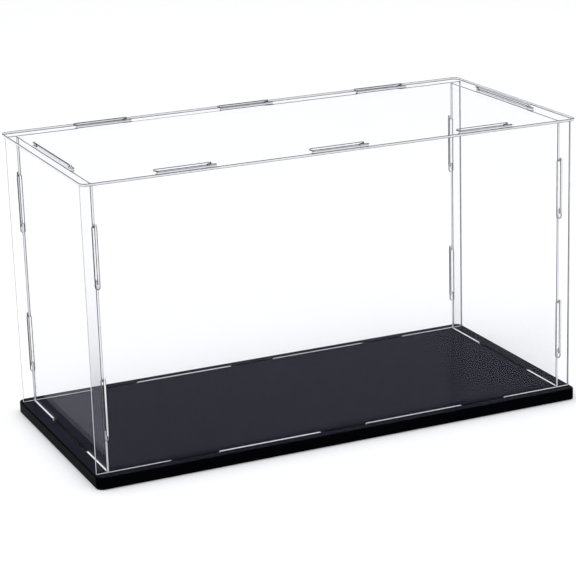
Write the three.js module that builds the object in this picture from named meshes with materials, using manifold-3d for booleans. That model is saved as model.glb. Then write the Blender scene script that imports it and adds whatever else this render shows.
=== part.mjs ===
// Football display case: five clear acrylic sheets that hook into each other by cut tabs and slots
// make a cover, and the cover stands in the slots of a low black base. Millimetres, +Z up, -Y is the
// front. The origin is on the surface that the case stands on, under the middle of the base.
import * as THREE from 'three';
import { mergeVertices } from 'three/addons/utils/BufferGeometryUtils.js';
import Module from 'manifold-3d';

const wasm = await Module();
wasm.setup();

// Driving dimensions of the cover.
const WALL_LENGTH = 400; // front and back sheets, end to end
const CASE_DEPTH = 178; // outer face of the front sheet to outer face of the back sheet
const CLEAR_HEIGHT = 218; // deck of the base to the underside of the lid
const SHEET = 2; // thickness of every acrylic sheet
const END_INSET = 8.5; // outer face of a side sheet, inside the ends of the front and back sheets
const LID_LIP = 7; // lid past the faces of the front and back sheets
const LID_END_LIP = 1; // lid past the ends of the front and back sheets
const LID_CORNER = 5; // radius of the lid's corners

// Driving dimensions of the tabs and of the slots that they hook into.
const NECK = 39; // length of a tab's neck, on the front and back sheets and up the side sheets
const SIDE_NECK = 81; // length of the neck of the tabs at the top and bottom of a side sheet
const TAB_PITCH = 122; // from tab to tab along the front and back sheets
const UPRIGHT_INSET = 51.5; // middle of a side sheet's upright tabs, from the deck and from the lid
const EAR_REACH = 2.8; // how far each ear hooks past the neck
const EAR_HEIGHT = 2; // ear, from its underside to the tab's end
const EAR_SLOPE = 0.5; // how far the underside of an ear rises from neck to tip
const EAR_RADIUS = 0.9; // outer corner of an ear
const SLOT_PLAY = 6.8; // length of slot left open beside the neck, so that both ears pass through
const FOOT_DEPTH = 5.5; // plain tab at the bottom of a wall, below the deck
const FOOT_RADIUS = 1.5; // corners of a plain tab
const BUTT_GAP = 0.2; // between an edge of one sheet and the face that it stands against
const SIDE_GAP = 0.4; // from each face of a sheet to the side of the slot it passes through
const END_GAP = 0.3; // from a neck to the end of its slot
const SLOT_RADIUS = 0.9; // corners of the closed end of a slot

// Driving dimensions of the base.
const BASE_LIP = 8; // base past the faces of the front and back sheets
const BASE_END_LIP = 2; // base past the ends of the front and back sheets
const BASE_HEIGHT = 8.8; // lower rim to deck
const BASE_CORNER = 6; // radius of the upright corners
const BASE_EDGE = 1.2; // rounding between the deck and the sides
const BASE_WALL = 2.2; // thickness of the sides and of the deck
const SLEEVE_WALL = 1.6; // wall of the sleeve under each slot of the deck
const RIB = 1.6; // thickness of the stiffening ribs
const RIB_PITCH = 61; // crosswise ribs, each side of the middle
const PAD_RADIUS = 6;
const PAD_THICKNESS = 1.5;
const PAD_PROUD = 0.6; // pad below the lower rim
const PAD_INSET_X = 27; // centre of a pad, from the end of the base
const PAD_INSET_Y = 25; // centre of a pad, from the front or back of the base
const PAD_GAP = 0.3; // round a pad in its recess
const PAD_GLUE = 0.1; // film of glue over a pad
const BOSS_WALL = 2.2; // wall round the recess of a pad

// Steps in a quarter turn of each kind of corner.
const FINE_STEPS = 3;
const CORNER_STEPS = 6;
const PAD_STEPS = 32;

// Sizes that follow from the driving dimensions.
const SLOT_WIDTH = SHEET + 2 * SIDE_GAP;
const GRIP = SHEET + 2 * BUTT_GAP; // neck, from the sheet's edge to the underside of the ears
const DECK_Z = PAD_PROUD + BASE_HEIGHT;
const WALL_HEIGHT = CLEAR_HEIGHT - 2 * BUTT_GAP;
const WALL_MID_Z = DECK_Z + CLEAR_HEIGHT / 2;
const SIDE_DEPTH = CASE_DEPTH - 2 * SHEET - 2 * BUTT_GAP;
const UPRIGHT_RISE = CLEAR_HEIGHT / 2 - UPRIGHT_INSET; // upright tabs, above and below the middle
const LONG_MID_Y = CASE_DEPTH / 2 - SHEET / 2; // middle plane of the front and back sheets
const SIDE_MID_X = WALL_LENGTH / 2 - END_INSET - SHEET / 2; // middle plane of the side sheets
const LONG_TABS = [-TAB_PITCH, 0, TAB_PITCH];
const BASE_HALF_X = WALL_LENGTH / 2 + BASE_END_LIP;
const BASE_HALF_Y = CASE_DEPTH / 2 + BASE_LIP;
const PAD_X = BASE_HALF_X - PAD_INSET_X;
const PAD_Y = BASE_HALF_Y - PAD_INSET_Y;

const CLEAR_ACRYLIC = { color: 0xeef4f5, roughness: 0.04, transparent: true, opacity: 0.25 };
const BLACK_PLASTIC = { color: 0x08080b, roughness: 0.12 };
const BLACK_FOAM = { color: 0x151515, roughness: 0.85 };

// Points along an arc, both ends included; the angles are in degrees.
function arc(x, y, radius, from, to, steps) {
  const points = [];
  for (let i = 0; i <= steps; i++) {
    const angle = THREE.MathUtils.degToRad(from + ((to - from) * i) / steps);
    points.push(new THREE.Vector2(x + radius * Math.cos(angle), y + radius * Math.sin(angle)));
  }
  return points;
}

// A rectangle about the origin with round corners.
function roundedRectangle(halfX, halfY, radius) {
  const x = halfX - radius;
  const y = halfY - radius;
  return [
    ...arc(x, -y, radius, -90, 0, CORNER_STEPS),
    ...arc(x, y, radius, 0, 90, CORNER_STEPS),
    ...arc(-x, y, radius, 90, 180, CORNER_STEPS),
    ...arc(-x, -y, radius, 180, 270, CORNER_STEPS),
  ];
}

// A slot along X from low to high. Its closed end, at low, has small corners; its open end, at high,
// is a half circle.
function lockingSlot(low, high) {
  const half = SLOT_WIDTH / 2;
  return [
    ...arc(high - half, 0, half, -90, 90, 2 * FINE_STEPS),
    ...arc(low + SLOT_RADIUS, half - SLOT_RADIUS, SLOT_RADIUS, 90, 180, FINE_STEPS),
    ...arc(low + SLOT_RADIUS, SLOT_RADIUS - half, SLOT_RADIUS, 180, 270, FINE_STEPS),
  ];
}

// The slot that a tab with this neck hooks into, with the neck centred on the origin.
function slotForNeck(neck) {
  return lockingSlot(-neck / 2 - END_GAP, neck / 2 + SLOT_PLAY);
}

// Turns points by quarter turns about the origin, and then moves them.
function moved(points, quarterTurns, x, y) {
  const middle = new THREE.Vector2();
  const shift = new THREE.Vector2(x, y);
  return points.map((p) => p.clone().rotateAround(middle, (quarterTurns * Math.PI) / 2).add(shift));
}

// A tab that locks: a neck as deep as the sheet it passes through, and an ear at each end of its
// head. It stands on the X axis, centred, and is listed from left to right.
function lockingTab(neck) {
  const tip = neck / 2 + EAR_REACH;
  const top = GRIP + EAR_HEIGHT;
  return [
    new THREE.Vector2(-neck / 2, 0),
    new THREE.Vector2(-neck / 2, GRIP),
    new THREE.Vector2(-tip, GRIP + EAR_SLOPE),
    ...arc(EAR_RADIUS - tip, top - EAR_RADIUS, EAR_RADIUS, 180, 90, FINE_STEPS),
    ...arc(tip - EAR_RADIUS, top - EAR_RADIUS, EAR_RADIUS, 90, 0, FINE_STEPS),
    new THREE.Vector2(tip, GRIP + EAR_SLOPE),
    new THREE.Vector2(neck / 2, GRIP),
    new THREE.Vector2(neck / 2, 0),
  ];
}

// A plain tab with rounded corners, which drops into the base.
function plainTab(neck) {
  const x = neck / 2 - FOOT_RADIUS;
  const y = FOOT_DEPTH + BUTT_GAP - FOOT_RADIUS;
  return [
    new THREE.Vector2(-neck / 2, 0),
    ...arc(-x, y, FOOT_RADIUS, 180, 90, FINE_STEPS),
    ...arc(x, y, FOOT_RADIUS, 90, 0, FINE_STEPS),
    new THREE.Vector2(neck / 2, 0),
  ];
}

// Outline of a wall, centred on the origin. A tab is { at, shape }, and tabs are listed from left to
// right along the top and the bottom, and from low to high up each side.
function wallOutline(width, height, { top, bottom, sides = [] }) {
  const x = width / 2;
  const y = height / 2;
  const backwards = (points) => [...points].reverse();
  return [
    new THREE.Vector2(-x, -y),
    ...bottom.flatMap(({ at, shape }) => backwards(moved(shape, 2, at, -y))),
    new THREE.Vector2(x, -y),
    ...sides.flatMap(({ at, shape }) => backwards(moved(shape, -1, x, at))),
    new THREE.Vector2(x, y),
    ...backwards(top).flatMap(({ at, shape }) => backwards(moved(shape, 0, at, y))),
    new THREE.Vector2(-x, y),
    ...backwards(sides).flatMap(({ at, shape }) => backwards(moved(shape, 1, -x, at))),
  ];
}

// An outline with holes, extruded upwards from the XY plane.
function plate(outline, holes, thickness) {
  const shape = new THREE.Shape(outline);
  shape.holes = holes.map((points) => new THREE.Path(points));
  return new THREE.ExtrudeGeometry(shape, { depth: thickness, bevelEnabled: false });
}

function solid(geometry) {
  const bare = geometry.clone();
  bare.deleteAttribute('normal');
  bare.deleteAttribute('uv');
  const merged = mergeVertices(bare);
  const vertProperties = new Float32Array(merged.attributes.position.array);
  const triVerts = new Uint32Array(merged.index.array);
  return new wasm.Manifold(new wasm.Mesh({ numProp: 3, vertProperties, triVerts }));
}

function geometryOf(manifold) {
  const mesh = manifold.getMesh();
  const geometry = new THREE.BufferGeometry();
  geometry.setAttribute('position', new THREE.BufferAttribute(mesh.vertProperties, 3));
  geometry.setIndex(new THREE.BufferAttribute(mesh.triVerts, 1));
  return geometry;
}

// Front and back sheets: three tabs into the lid, three into the base, and two slots at each end for
// the upright tabs of the side sheets. The open end of each upright slot is its lower one.
function longWall() {
  const outline = wallOutline(WALL_LENGTH, WALL_HEIGHT, {
    top: LONG_TABS.map((at) => ({ at, shape: lockingTab(NECK) })),
    bottom: LONG_TABS.map((at) => ({ at, shape: plainTab(NECK) })),
  });
  const slots = [];
  for (const x of [-SIDE_MID_X, SIDE_MID_X]) {
    for (const y of [-UPRIGHT_RISE, UPRIGHT_RISE]) slots.push(moved(slotForNeck(NECK), -1, x, y));
  }
  return plate(outline, slots, SHEET);
}

// Side sheets: one long tab into the lid, one into the base, and two tabs up each edge.
function sideWall() {
  const upright = [-UPRIGHT_RISE, UPRIGHT_RISE].map((at) => ({ at, shape: lockingTab(NECK) }));
  const outline = wallOutline(SIDE_DEPTH, WALL_HEIGHT, {
    top: [{ at: 0, shape: lockingTab(SIDE_NECK) }],
    bottom: [{ at: 0, shape: plainTab(SIDE_NECK) }],
    sides: upright,
  });
  return plate(outline, [], SHEET);
}

// Lid: its slots open towards +X over the front and back sheets, and towards the front over the sides.
function lid() {
  const halfX = WALL_LENGTH / 2 + LID_END_LIP;
  const halfY = CASE_DEPTH / 2 + LID_LIP;
  const slots = [];
  for (const y of [-LONG_MID_Y, LONG_MID_Y]) {
    for (const x of LONG_TABS) slots.push(moved(slotForNeck(NECK), 0, x, y));
  }
  for (const x of [-SIDE_MID_X, SIDE_MID_X]) slots.push(moved(slotForNeck(SIDE_NECK), -1, x, 0));
  return plate(roundedRectangle(halfX, halfY, LID_CORNER), slots, SHEET);
}

// Each slot of the deck: its middle, the neck that it takes and the way it runs.
function deckSlots() {
  const list = [];
  for (const y of [-LONG_MID_Y, LONG_MID_Y]) {
    for (const x of LONG_TABS) list.push({ x, y, neck: NECK, alongX: true });
  }
  for (const x of [-SIDE_MID_X, SIDE_MID_X]) list.push({ x, y: 0, neck: SIDE_NECK, alongX: false });
  return list;
}

// A block that stands from low to high on the outline of a deck slot, grown by a margin all round.
function slotBlock({ x, y, neck, alongX }, margin, low, high) {
  const length = neck + 2 * END_GAP + 2 * margin;
  const width = SLOT_WIDTH + 2 * margin;
  const box = new THREE.BoxGeometry(alongX ? length : width, alongX ? width : length, high - low);
  return solid(box).translate([x, y, (low + high) / 2]);
}

function block(halfX, halfY, low, high) {
  const box = new THREE.BoxGeometry(2 * halfX, 2 * halfY, high - low);
  return solid(box).translate([0, 0, (low + high) / 2]);
}

function disc(radius, x, y, low, high) {
  const cylinder = new THREE.CylinderGeometry(radius, radius, high - low, PAD_STEPS).rotateX(Math.PI / 2);
  return solid(cylinder).translate([x, y, (low + high) / 2]);
}

const PAD_PLACES = {
  front_left: [-PAD_X, -PAD_Y],
  front_right: [PAD_X, -PAD_Y],
  back_left: [-PAD_X, PAD_Y],
  back_right: [PAD_X, PAD_Y],
};

// Outer body of the base, from the lower rim to the deck, with the deck's edge rounded.
function baseBody() {
  const outline = new THREE.Shape(
    roundedRectangle(BASE_HALF_X - BASE_EDGE, BASE_HALF_Y - BASE_EDGE, BASE_CORNER - BASE_EDGE),
  );
  const blank = new THREE.ExtrudeGeometry(outline, {
    depth: BASE_HEIGHT,
    bevelThickness: BASE_EDGE,
    bevelSize: BASE_EDGE,
    bevelSegments: FINE_STEPS,
  });
  const lifted = solid(blank).translate([0, 0, PAD_PROUD - BASE_EDGE]);
  return lifted.intersect(block(BASE_HALF_X + 1, BASE_HALF_Y + 1, PAD_PROUD, DECK_Z));
}

// Base: one moulding, hollow below, with a sleeve under each slot, three ribs and four pad bosses.
function baseTray() {
  const underDeck = DECK_Z - BASE_WALL;
  const insideX = BASE_HALF_X - BASE_WALL;
  const insideY = BASE_HALF_Y - BASE_WALL;
  const insideOutline = roundedRectangle(insideX, insideY, BASE_CORNER - BASE_WALL);
  const cavity = solid(plate(insideOutline, [], underDeck));
  const intoDeck = underDeck + BASE_WALL / 2;
  const intoWall = BASE_WALL / 2;
  let tray = baseBody().subtract(cavity);
  tray = tray.add(block(BASE_HALF_X - intoWall, RIB / 2, PAD_PROUD, intoDeck));
  for (const x of [-RIB_PITCH, RIB_PITCH]) {
    tray = tray.add(block(RIB / 2, BASE_HALF_Y - intoWall, PAD_PROUD, intoDeck).translate([x, 0, 0]));
  }
  for (const slot of deckSlots()) tray = tray.add(slotBlock(slot, SLEEVE_WALL, PAD_PROUD, intoDeck));
  for (const [x, y] of Object.values(PAD_PLACES)) {
    const recessRadius = PAD_RADIUS + PAD_GAP;
    const recessTop = PAD_THICKNESS + PAD_GLUE;
    tray = tray.add(disc(recessRadius + BOSS_WALL, x, y, PAD_PROUD, intoDeck));
    tray = tray.subtract(disc(recessRadius, x, y, 0, recessTop));
  }
  for (const slot of deckSlots()) tray = tray.subtract(slotBlock(slot, 0, 0, DECK_Z + 1));
  return geometryOf(tray);
}

const assembly = new THREE.Group();

function piece(name, geometry, material, x = 0, y = 0, z = 0) {
  const mesh = new THREE.Mesh(geometry, new THREE.MeshStandardMaterial(material));
  mesh.name = name;
  mesh.position.set(x, y, z);
  assembly.add(mesh);
  return mesh;
}

piece('base_tray', baseTray(), BLACK_PLASTIC);
for (const [place, [x, y]] of Object.entries(PAD_PLACES)) {
  piece(`pad_${place}`, geometryOf(disc(PAD_RADIUS, 0, 0, 0, PAD_THICKNESS)), BLACK_FOAM, x, y);
}

const UPRIGHT_TURN = Math.PI / 2;
const front = piece('front_wall', longWall(), CLEAR_ACRYLIC, 0, SHEET - CASE_DEPTH / 2, WALL_MID_Z);
const back = piece('back_wall', longWall(), CLEAR_ACRYLIC, 0, CASE_DEPTH / 2, WALL_MID_Z);
for (const wall of [front, back]) wall.rotation.set(UPRIGHT_TURN, 0, 0);

const left = piece('left_wall', sideWall(), CLEAR_ACRYLIC, -SIDE_MID_X - SHEET / 2, 0, WALL_MID_Z);
const right = piece('right_wall', sideWall(), CLEAR_ACRYLIC, SIDE_MID_X - SHEET / 2, 0, WALL_MID_Z);
for (const wall of [left, right]) wall.rotation.set(UPRIGHT_TURN, UPRIGHT_TURN, 0);

piece('lid', lid(), CLEAR_ACRYLIC, 0, 0, DECK_Z + CLEAR_HEIGHT);

export default assembly;
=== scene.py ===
"""A football display case: a cover of five clear acrylic sheets that hook into each other, standing in
the slots of a low, black, glossy base. Metres, +Z up, -Y is the front."""
import math

import bpy
from mathutils import Matrix, Vector


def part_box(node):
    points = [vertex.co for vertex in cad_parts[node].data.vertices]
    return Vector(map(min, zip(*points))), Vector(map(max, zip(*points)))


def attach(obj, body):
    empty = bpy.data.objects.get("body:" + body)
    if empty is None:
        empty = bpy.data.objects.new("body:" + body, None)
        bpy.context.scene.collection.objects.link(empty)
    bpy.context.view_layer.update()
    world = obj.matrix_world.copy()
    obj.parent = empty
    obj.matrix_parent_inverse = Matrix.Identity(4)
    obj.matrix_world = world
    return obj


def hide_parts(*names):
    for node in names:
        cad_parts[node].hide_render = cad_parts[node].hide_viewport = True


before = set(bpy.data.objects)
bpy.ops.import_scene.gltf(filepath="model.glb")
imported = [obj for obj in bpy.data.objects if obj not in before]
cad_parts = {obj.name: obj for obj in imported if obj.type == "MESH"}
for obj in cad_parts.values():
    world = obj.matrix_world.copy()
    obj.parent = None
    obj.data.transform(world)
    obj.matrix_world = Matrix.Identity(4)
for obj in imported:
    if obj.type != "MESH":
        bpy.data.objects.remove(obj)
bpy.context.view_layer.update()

MM = 0.001
NEAR = 1e-6  # two coordinates closer than this are the same
WELD = 0.002 * MM  # vertices closer than this become one
FLAT_ANGLE = math.radians(0.5)  # faces that meet at less than this become one
SHARP_ANGLE = math.radians(60)
SMOOTH_ANGLE = math.radians(35)
ALONG = 0.99  # a normal with more than this of an axis points along it
ACROSS = 0.1  # a normal with less than this of an axis points across it
ROUND_SIDES = 64
SORT_POINT = (0.3137, 0.7291, 0.5413)  # in no plane of symmetry
NOISE_LOW = 0.3  # a noise's value mostly lies between these
NOISE_HIGH = 0.7

# Sheets.
SHEET = 2 * MM
SHEET_ARRIS = 0.4 * MM  # the fine chamfer that the scraped edge of a sheet has
LOWER_EDGE = 12 * MM  # the edges below this stand on the deck, or go into it
LOWER_ARRIS = 0.5  # share of the chamfer's width that those edges have
SHINE = 0.17  # how much of a full gloss the clear sheets have
HEAD_ON = 0.04  # what a full gloss mirrors of light from straight ahead
SHEETS = {
    "front_sheet": "front_wall",
    "back_sheet": "back_wall",
    "left_sheet": "left_wall",
    "right_sheet": "right_wall",
    "lid_sheet": "lid",
}

# Base.
RIM_Z = 0.6 * MM
CORNER = 6 * MM  # radius of the upright corners
DECK_EDGE = 1.2 * MM  # radius between the deck and the sides
BASE_WALL = 2.2 * MM
SLEEVE_WALL = 1.6 * MM
RIB = 1.6 * MM
RIB_PITCH = 61 * MM
SLOT_CORNER = 0.5 * MM
BASE_ARRIS = 0.25 * MM  # rounding at the slots' mouths, and along the ribs, sleeves and recesses
SLOT_PLAY = 0.3 * MM  # from a tab to the end of its slot in the deck
SIDE_PLAY = 0.4 * MM  # from the faces of a tab to the sides of its slot
PAD_GAP = 0.3 * MM
PAD_RIM = 0.3 * MM  # rounding of a pad's lower rim
BOSS_WALL = 2.2 * MM
RECESS_TOP = 1.6 * MM
NECK = 39 * MM
SIDE_NECK = 81 * MM
TAB_PITCH = 122 * MM

# Camera: where it stands, its turn round +Z, its tilt and its roll, in degrees, and its lens.
CAMERA_PLACE = (-0.6461, -1.4571, 0.5839)
CAMERA_TURN = -23.787
CAMERA_DROP = 16.948
CAMERA_ROLL = -1.809
CAMERA_LENS = 131.8
CAMERA_REACH = 50

# Studio.
FLOOR_SIZE = 24
SKY_STRENGTH = 1.1
SKY_HEIGHTS = (0.10, 0.50)  # the sky dims between these, where straight up is 1
SKY_COLOURS = ((1.0, 1.0, 1.0, 1), (0.9, 0.9, 0.93, 1))
LAMP_PLACE = (-0.6, -0.4, 2.6)
LAMP_SIZE = 2.4
LAMP_WATTS = 14


# ---------------------------------------------------------------- modelling

def pick(*pieces):
    """Selects these pieces alone; the last is the active one."""
    bpy.ops.object.select_all(action="DESELECT")
    for piece in pieces:
        piece.select_set(True)
    bpy.context.view_layer.objects.active = pieces[-1]


def settle():
    """Moves the place, turn and size of the active piece into its mesh."""
    bpy.ops.object.transform_apply(location=True, rotation=True, scale=True)
    return bpy.context.object


def box(name, low, high):
    bpy.ops.object.select_all(action="DESELECT")
    low = Vector(low)
    high = Vector(high)
    bpy.ops.mesh.primitive_cube_add(size=1, location=(low + high) / 2, scale=high - low)
    bpy.context.object.name = name
    return settle()


def disc(name, radius, x, y, low, high):
    bpy.ops.object.select_all(action="DESELECT")
    middle = (x, y, (low + high) / 2)
    bpy.ops.mesh.primitive_cylinder_add(
        vertices=ROUND_SIDES, radius=radius, depth=high - low, location=middle
    )
    bpy.context.object.name = name
    return settle()


def object_mode():
    bpy.ops.object.mode_set(mode="OBJECT")


def edit_mode(kind):
    bpy.ops.object.mode_set(mode="EDIT")
    bpy.ops.mesh.select_mode(type=kind)


def select_none(mesh):
    object_mode()
    for kind in (mesh.vertices, mesh.edges, mesh.polygons):
        for item in kind:
            item.select = False


def ends(mesh, edge):
    return (mesh.vertices[i].co for i in edge.vertices)


def select_edges(piece, wanted):
    """Selects in edit mode the edges for which wanted(end, other_end) is true."""
    mesh = piece.data
    select_none(mesh)
    for edge in mesh.edges:
        edge.select = wanted(*ends(mesh, edge))
    edit_mode("EDGE")


def select_underside(piece):
    """Selects in edit mode the faces that look down."""
    select_none(piece.data)
    for face in piece.data.polygons:
        face.select = face.normal.z < -ALONG
    edit_mode("FACE")


def select_sharp(piece, after_boolean):
    """Cleans the mesh, and leaves its sharp edges selected. A boolean lists its result in another order
    in every run, and flat faces are merged in the order of the list, so it is sorted first."""
    pick(piece)
    edit_mode("EDGE")
    bpy.ops.mesh.select_all(action="SELECT")
    bpy.ops.mesh.remove_doubles(threshold=WELD)
    bpy.ops.mesh.select_all(action="SELECT")
    if after_boolean:
        bpy.context.scene.cursor.location = SORT_POINT
        bpy.ops.mesh.sort_elements(type="CURSOR_DISTANCE", elements={"VERT", "EDGE", "FACE"})
    bpy.ops.mesh.dissolve_limited(angle_limit=FLAT_ANGLE)
    bpy.ops.mesh.select_all(action="DESELECT")
    bpy.ops.mesh.edges_select_sharp(sharpness=SHARP_ANGLE)
    object_mode()


def round_off(radius, segments):
    """Rounds the selected edges and leaves edit mode."""
    bpy.ops.mesh.bevel(offset=radius, segments=segments, affect="EDGES")
    object_mode()


def upright(a, b):
    return abs(a.x - b.x) < NEAR and abs(a.y - b.y) < NEAR


def combine(piece, tools, operation):
    """Cuts the tools from the piece, or joins them to it, and clears them away."""
    if len(tools) > 1:
        pick(*tools)
        bpy.ops.object.join()
    tool = tools[-1]
    pick(piece)
    step = piece.modifiers.new(operation.lower(), "BOOLEAN")
    step.operation = operation
    step.solver = "EXACT"
    step.use_self = operation == "UNION"
    step.object = tool
    bpy.ops.object.modifier_apply(modifier=step.name)
    bpy.data.objects.remove(tool)


def smooth(piece):
    """Shades the rounded faces smooth and keeps the flat ones flat."""
    pick(piece)
    bpy.ops.object.shade_smooth_by_angle(angle=SMOOTH_ANGLE)
    step = piece.modifiers.new("flats", "WEIGHTED_NORMAL")
    step.mode = "FACE_AREA"
    step.weight = 100
    step.keep_sharp = True
    bpy.ops.object.modifier_apply(modifier=step.name)


# ---------------------------------------------------------------- materials

def new_material(name, colour, ior):
    material = bpy.data.materials.new(name)
    material.use_nodes = True
    shader = material.node_tree.nodes["Principled BSDF"]
    shader.inputs["Base Color"].default_value = (*colour, 1)
    shader.inputs["IOR"].default_value = ior
    return material, shader


def noise(material, scale, detail):
    """A noise on the piece's own coordinates, scale per metre."""
    nodes = material.node_tree.nodes
    place = nodes.new("ShaderNodeTexCoord")
    texture = nodes.new("ShaderNodeTexNoise")
    texture.inputs["Scale"].default_value = scale
    texture.inputs["Detail"].default_value = detail
    material.node_tree.links.new(place.outputs["Object"], texture.inputs["Vector"])
    return texture.outputs["Fac"]


def roughen(material, shader, value, low, high):
    """Spreads the shader's roughness over a range, by a noise's value."""
    step = material.node_tree.nodes.new("ShaderNodeMapRange")
    step.inputs["From Min"].default_value = NOISE_LOW
    step.inputs["From Max"].default_value = NOISE_HIGH
    step.inputs["To Min"].default_value = low
    step.inputs["To Max"].default_value = high
    links = material.node_tree.links
    links.new(value, step.inputs["Value"])
    links.new(step.outputs["Result"], shader.inputs["Roughness"])


def bump(material, shader, height, distance, strength):
    step = material.node_tree.nodes.new("ShaderNodeBump")
    step.inputs["Strength"].default_value = strength
    step.inputs["Distance"].default_value = distance
    material.node_tree.links.new(height, step.inputs["Height"])
    material.node_tree.links.new(step.outputs["Normal"], shader.inputs["Normal"])


def arithmetic(material, operation, value, *numbers):
    """One step of arithmetic on a value."""
    step = material.node_tree.nodes.new("ShaderNodeMath")
    step.operation = operation
    material.node_tree.links.new(value, step.inputs[0])
    for place, number in enumerate(numbers, start=1):
        step.inputs[place].default_value = number
    return step.outputs["Value"]


def polished_acrylic():
    """Clear sheet: it mirrors a little, more at a flat angle, and passes the rest straight through."""
    material, mirror = new_material("polished_acrylic", (0.84, 0.86, 1.0), ior=1.49)
    nodes = material.node_tree.nodes
    links = material.node_tree.links
    mirror.inputs["Metallic"].default_value = 1.0
    haze = noise(material, scale=60, detail=4)
    roughen(material, mirror, haze, low=0.0, high=0.015)
    slant = nodes.new("ShaderNodeLayerWeight")
    slant.inputs["Blend"].default_value = 0.5
    steep = arithmetic(material, "POWER", slant.outputs["Facing"], 5)
    span = (1 - HEAD_ON) * SHINE
    share = arithmetic(material, "MULTIPLY_ADD", steep, span, HEAD_ON * SHINE)
    clear = nodes.new("ShaderNodeBsdfTransparent")
    clear.inputs["Color"].default_value = (0.992, 0.994, 0.995, 1)
    mix = nodes.new("ShaderNodeMixShader")
    links.new(share, mix.inputs["Fac"])
    links.new(clear.outputs["BSDF"], mix.inputs[1])
    links.new(mirror.outputs["BSDF"], mix.inputs[2])
    links.new(mix.outputs["Shader"], nodes["Material Output"].inputs["Surface"])
    return material


def laser_cut_edge():
    """Cut edge: paler and duller than the face, with fine streaks from the laser."""
    material, shader = new_material("laser_cut_edge", (0.80, 0.81, 0.83), ior=1.45)
    shader.inputs["Transmission Weight"].default_value = 0.3
    streaks = noise(material, scale=2500, detail=3)
    roughen(material, shader, streaks, low=0.22, high=0.4)
    bump(material, shader, streaks, distance=0.02 * MM, strength=0.4)
    return material


def arris_painted_shade():
    """The scraped corner between a face and a cut edge, coloured near-black as painted shade: it stands
    in for the dark line that refraction draws along a clear sheet's edge.
    """
    material, shader = new_material("arris_painted_shade", (0.012, 0.012, 0.014), ior=1.15)
    streaks = noise(material, scale=1600, detail=3)
    roughen(material, shader, streaks, low=0.25, high=0.5)
    return material


def deck_black():
    """The deck, polished to a mirror gloss."""
    material, shader = new_material("deck_black", (0.005, 0.005, 0.012), ior=1.04)
    wear = noise(material, scale=90, detail=5)
    roughen(material, shader, wear, low=0.006, high=0.02)
    return material


def side_black():
    """The sides and lips of the base, as they come from the mould."""
    material, shader = new_material("side_black", (0.001, 0.001, 0.0015), ior=1.03)
    grain = noise(material, scale=700, detail=3)
    bump(material, shader, grain, distance=0.004 * MM, strength=0.3)
    roughen(material, shader, grain, low=0.10, high=0.2)
    return material


def moulded_black():
    """The underside of the base, as it comes from a duller mould."""
    material, shader = new_material("moulded_black", (0.012, 0.012, 0.015), ior=1.45)
    grain = noise(material, scale=1800, detail=2)
    bump(material, shader, grain, distance=0.03 * MM, strength=0.5)
    roughen(material, shader, grain, low=0.35, high=0.5)
    return material


def foam_rubber():
    material, shader = new_material("foam_rubber", (0.03, 0.03, 0.032), ior=1.45)
    cells = noise(material, scale=2600, detail=3)
    bump(material, shader, cells, distance=0.12 * MM, strength=0.9)
    roughen(material, shader, cells, low=0.75, high=0.95)
    return material


def floor_paint():
    material, shader = new_material("floor_paint", (0.94, 0.94, 0.94), ior=1.45)
    shader.inputs["Roughness"].default_value = 0.6
    shader.inputs["Specular IOR Level"].default_value = 0.2
    return material


FACE = polished_acrylic()
EDGE = laser_cut_edge()
# The arris material is painted shade: its near-black colour draws the dark lines along the sheets'
# edges.
ARRIS_PAINTED_SHADE = arris_painted_shade()
DECK = deck_black()
SIDE = side_black()
HIDDEN = moulded_black()
FOAM = foam_rubber()


# ---------------------------------------------------------------- cover

def sheet(name, node):
    """A sheet with the outline of its CAD node, and a fine chamfer along its cut edges."""
    low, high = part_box(node)
    size = high - low
    thin = min(range(3), key=lambda axis: size[axis])
    piece = bpy.data.objects.new(name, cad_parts[node].data.copy())
    bpy.context.scene.collection.objects.link(piece)
    select_sharp(piece, after_boolean=False)
    mesh = piece.data
    weight = mesh.attributes.new("bevel_weight_edge", "FLOAT", "EDGE")
    for edge in mesh.edges:
        a, b = ends(mesh, edge)
        if edge.select and abs(a[thin] - b[thin]) < NEAR:
            upper = max(a.z, b.z) > LOWER_EDGE
            weight.data[edge.index].value = 1 if upper else LOWER_ARRIS
    step = piece.modifiers.new("arris", "BEVEL")
    step.width = SHEET_ARRIS
    step.segments = 1
    step.limit_method = "WEIGHT"
    step.use_clamp_overlap = False
    bpy.ops.object.modifier_apply(modifier=step.name)
    mesh.materials.clear()
    for material in (FACE, EDGE, ARRIS_PAINTED_SHADE):
        mesh.materials.append(material)
    for face in mesh.polygons:
        face.use_smooth = False
        across = abs(face.normal[thin])
        # Faces across the thickness get the face material and faces along it get the cut edge. The
        # chamfer faces get the near-black painted shade of the arris.
        face.material_index = 0 if across > ALONG else 1 if across < ACROSS else 2
    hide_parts(node)
    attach(piece, "cover")


for sheet_name, sheet_node in SHEETS.items():
    sheet(sheet_name, sheet_node)


# ---------------------------------------------------------------- base

base_low, base_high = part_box("base_tray")
DECK_Z = base_high.z
UNDER_DECK = DECK_Z - BASE_WALL
INTO_DECK = DECK_Z - BASE_WALL / 2
LONG_Y = (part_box("back_wall")[0].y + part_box("back_wall")[1].y) / 2
SIDE_X = (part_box("right_wall")[0].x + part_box("right_wall")[1].x) / 2

SLOTS = [(x, y, NECK, True) for y in (-LONG_Y, LONG_Y) for x in (-TAB_PITCH, 0, TAB_PITCH)]
SLOTS += [(x, 0, SIDE_NECK, False) for x in (-SIDE_X, SIDE_X)]


def on_deck(a, b):
    return min(a.z, b.z) > DECK_Z - NEAR


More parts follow.
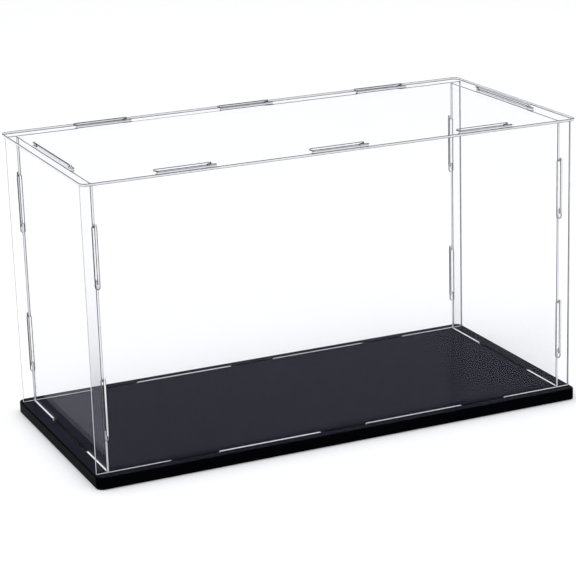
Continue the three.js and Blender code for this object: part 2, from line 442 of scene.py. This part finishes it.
def slot_block(slot, margin, low, high):
    """A block over a slot, wider and longer than it by the margin on every side."""
    x, y, neck, along_x = slot
    half_length = neck / 2 + SLOT_PLAY + margin
    half_width = SHEET / 2 + SIDE_PLAY + margin
    half_x, half_y = (half_length, half_width) if along_x else (half_width, half_length)
    return box("slot_block", (x - half_x, y - half_y, low), (x + half_x, y + half_y, high))


def slot_cutter(slot):
    cutter = slot_block(slot, 0, 0, DECK_Z + 1 * MM)
    select_edges(cutter, upright)
    round_off(SLOT_CORNER, segments=4)
    return cutter


def outer_tray():
    """The outside of the moulding: corners and deck edge rounded, and hollowed from below."""
    tray = box("base", (base_low.x, base_low.y, RIM_Z), (base_high.x, base_high.y, DECK_Z))
    select_edges(tray, upright)
    round_off(CORNER, segments=14)
    select_edges(tray, on_deck)
    round_off(DECK_EDGE, segments=5)
    select_underside(tray)
    bpy.ops.mesh.inset(thickness=BASE_WALL)
    hollow = (0, 0, UNDER_DECK - RIM_Z)
    bpy.ops.mesh.extrude_region_move(TRANSFORM_OT_translate={"value": hollow})
    object_mode()
    return tray


def ribs():
    """One rib along the base and two across it, each a little way into the sides and the deck."""
    inside_x = base_high.x - BASE_WALL / 2
    inside_y = base_high.y - BASE_WALL / 2
    parts = [box("rib", (-inside_x, -RIB / 2, RIM_Z), (inside_x, RIB / 2, INTO_DECK))]
    for x in (-RIB_PITCH, RIB_PITCH):
        low = (x - RIB / 2, -inside_y, RIM_Z)
        high = (x + RIB / 2, inside_y, INTO_DECK)
        parts.append(box("rib", low, high))
    return parts


PAD_NODES = ("pad_front_left", "pad_front_right", "pad_back_left", "pad_back_right")


def base():
    """The hollow moulding under the cover: deck, sides, ribs, slot sleeves and pad recesses."""
    tray = outer_tray()
    pads = [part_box(node) for node in PAD_NODES]
    places = [((low.x + high.x) / 2, (low.y + high.y) / 2) for low, high in pads]
    radius = (pads[0][1].x - pads[0][0].x) / 2 + PAD_GAP
    for rib in ribs():
        combine(tray, [rib], "UNION")
    for slot in SLOTS:
        combine(tray, [slot_block(slot, SLEEVE_WALL, RIM_Z, INTO_DECK)], "UNION")
    for x, y in places:
        combine(tray, [disc("boss", radius + BOSS_WALL, x, y, RIM_Z, INTO_DECK)], "UNION")
    recesses = [disc("recess", radius, x, y, 0, RECESS_TOP) for x, y in places]
    combine(tray, recesses, "DIFFERENCE")
    combine(tray, [slot_cutter(slot) for slot in SLOTS], "DIFFERENCE")
    select_sharp(tray, after_boolean=True)
    for edge in tray.data.edges:
        edge.select = edge.select and on_deck(*ends(tray.data, edge))
    # Faces with sharp edges all round stay selected: the sides of the ribs, sleeves and recesses.
    edit_mode("EDGE")
    round_off(BASE_ARRIS, segments=3)
    for material in (DECK, SIDE, HIDDEN):
        tray.data.materials.append(material)
    for face in tray.data.polygons:
        outside = abs(face.center.x) > base_high.x - CORNER
        outside = outside or abs(face.center.y) > base_high.y - BASE_WALL / 2
        if face.normal.z > ALONG and face.center.z > DECK_Z - 10 * NEAR:
            face.material_index = 0
        elif face.normal.z > -0.5 and (outside or face.center.z > UNDER_DECK + 10 * NEAR):
            face.material_index = 1
        else:
            face.material_index = 2
    smooth(tray)
    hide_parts("base_tray")
    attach(tray, "base")


def pad(node):
    low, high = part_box(node)
    radius = (high.x - low.x) / 2
    middle = (low + high) / 2
    piece = disc("foam_" + node, radius, middle.x, middle.y, low.z, high.z)
    select_edges(piece, lambda a, b: max(a.z, b.z) < low.z + NEAR)
    round_off(PAD_RIM, segments=3)
    piece.data.materials.append(FOAM)
    smooth(piece)
    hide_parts(node)
    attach(piece, "base")


base()
for pad_node in PAD_NODES:
    pad(pad_node)


# ---------------------------------------------------------------- studio

def floor():
    bpy.ops.object.select_all(action="DESELECT")
    bpy.ops.mesh.primitive_plane_add(size=FLOOR_SIZE, location=(0, 0, 0))
    plane = bpy.context.object
    plane.name = "floor"
    plane.data.materials.append(floor_paint())


def sky():
    """Bright round the horizon, and dimmer above it."""
    world = bpy.data.worlds.new("studio")
    world.use_nodes = True
    nodes = world.node_tree.nodes
    links = world.node_tree.links
    place = nodes.new("ShaderNodeTexCoord")
    split = nodes.new("ShaderNodeSeparateXYZ")
    ramp = nodes.new("ShaderNodeValToRGB")
    for stop, height, colour in zip(ramp.color_ramp.elements, SKY_HEIGHTS, SKY_COLOURS):
        stop.position = height
        stop.color = colour
    links.new(place.outputs["Generated"], split.inputs["Vector"])
    links.new(split.outputs["Z"], ramp.inputs["Fac"])
    links.new(ramp.outputs["Color"], nodes["Background"].inputs["Color"])
    nodes["Background"].inputs["Strength"].default_value = SKY_STRENGTH
    bpy.context.scene.world = world


def softbox():
    lamp = bpy.data.lights.new("overhead_softbox", "AREA")
    lamp.shape = "RECTANGLE"
    lamp.size = LAMP_SIZE
    lamp.size_y = LAMP_SIZE
    lamp.energy = LAMP_WATTS
    lamp_object = bpy.data.objects.new("overhead_softbox", lamp)
    lamp_object.location = LAMP_PLACE
    lamp_object.rotation_euler = (-Vector(LAMP_PLACE)).to_track_quat("-Z", "Y").to_euler()
    bpy.context.scene.collection.objects.link(lamp_object)


def camera():
    turn = math.radians(CAMERA_TURN)
    drop = math.radians(CAMERA_DROP)
    roll = math.radians(CAMERA_ROLL)
    back = Vector((
        math.sin(turn) * math.cos(drop),
        -math.cos(turn) * math.cos(drop),
        math.sin(drop),
    ))
    right = (-back).cross(Vector((0, 0, 1))).normalized()
    up = right.cross(-back)
    right, up = (
        math.cos(roll) * right + math.sin(roll) * up,
        math.cos(roll) * up - math.sin(roll) * right,
    )
    data = bpy.data.cameras.new("camera")
    data.lens = CAMERA_LENS
    data.clip_end = CAMERA_REACH
    camera_object = bpy.data.objects.new("camera", data)
    axes = Matrix((right, up, back)).transposed().to_4x4()
    camera_object.matrix_world = Matrix.Translation(CAMERA_PLACE) @ axes
    bpy.context.scene.collection.objects.link(camera_object)
    bpy.context.scene.camera = camera_object


floor()
sky()
softbox()
camera()
bpy.context.scene.view_settings.view_transform = "Standard"
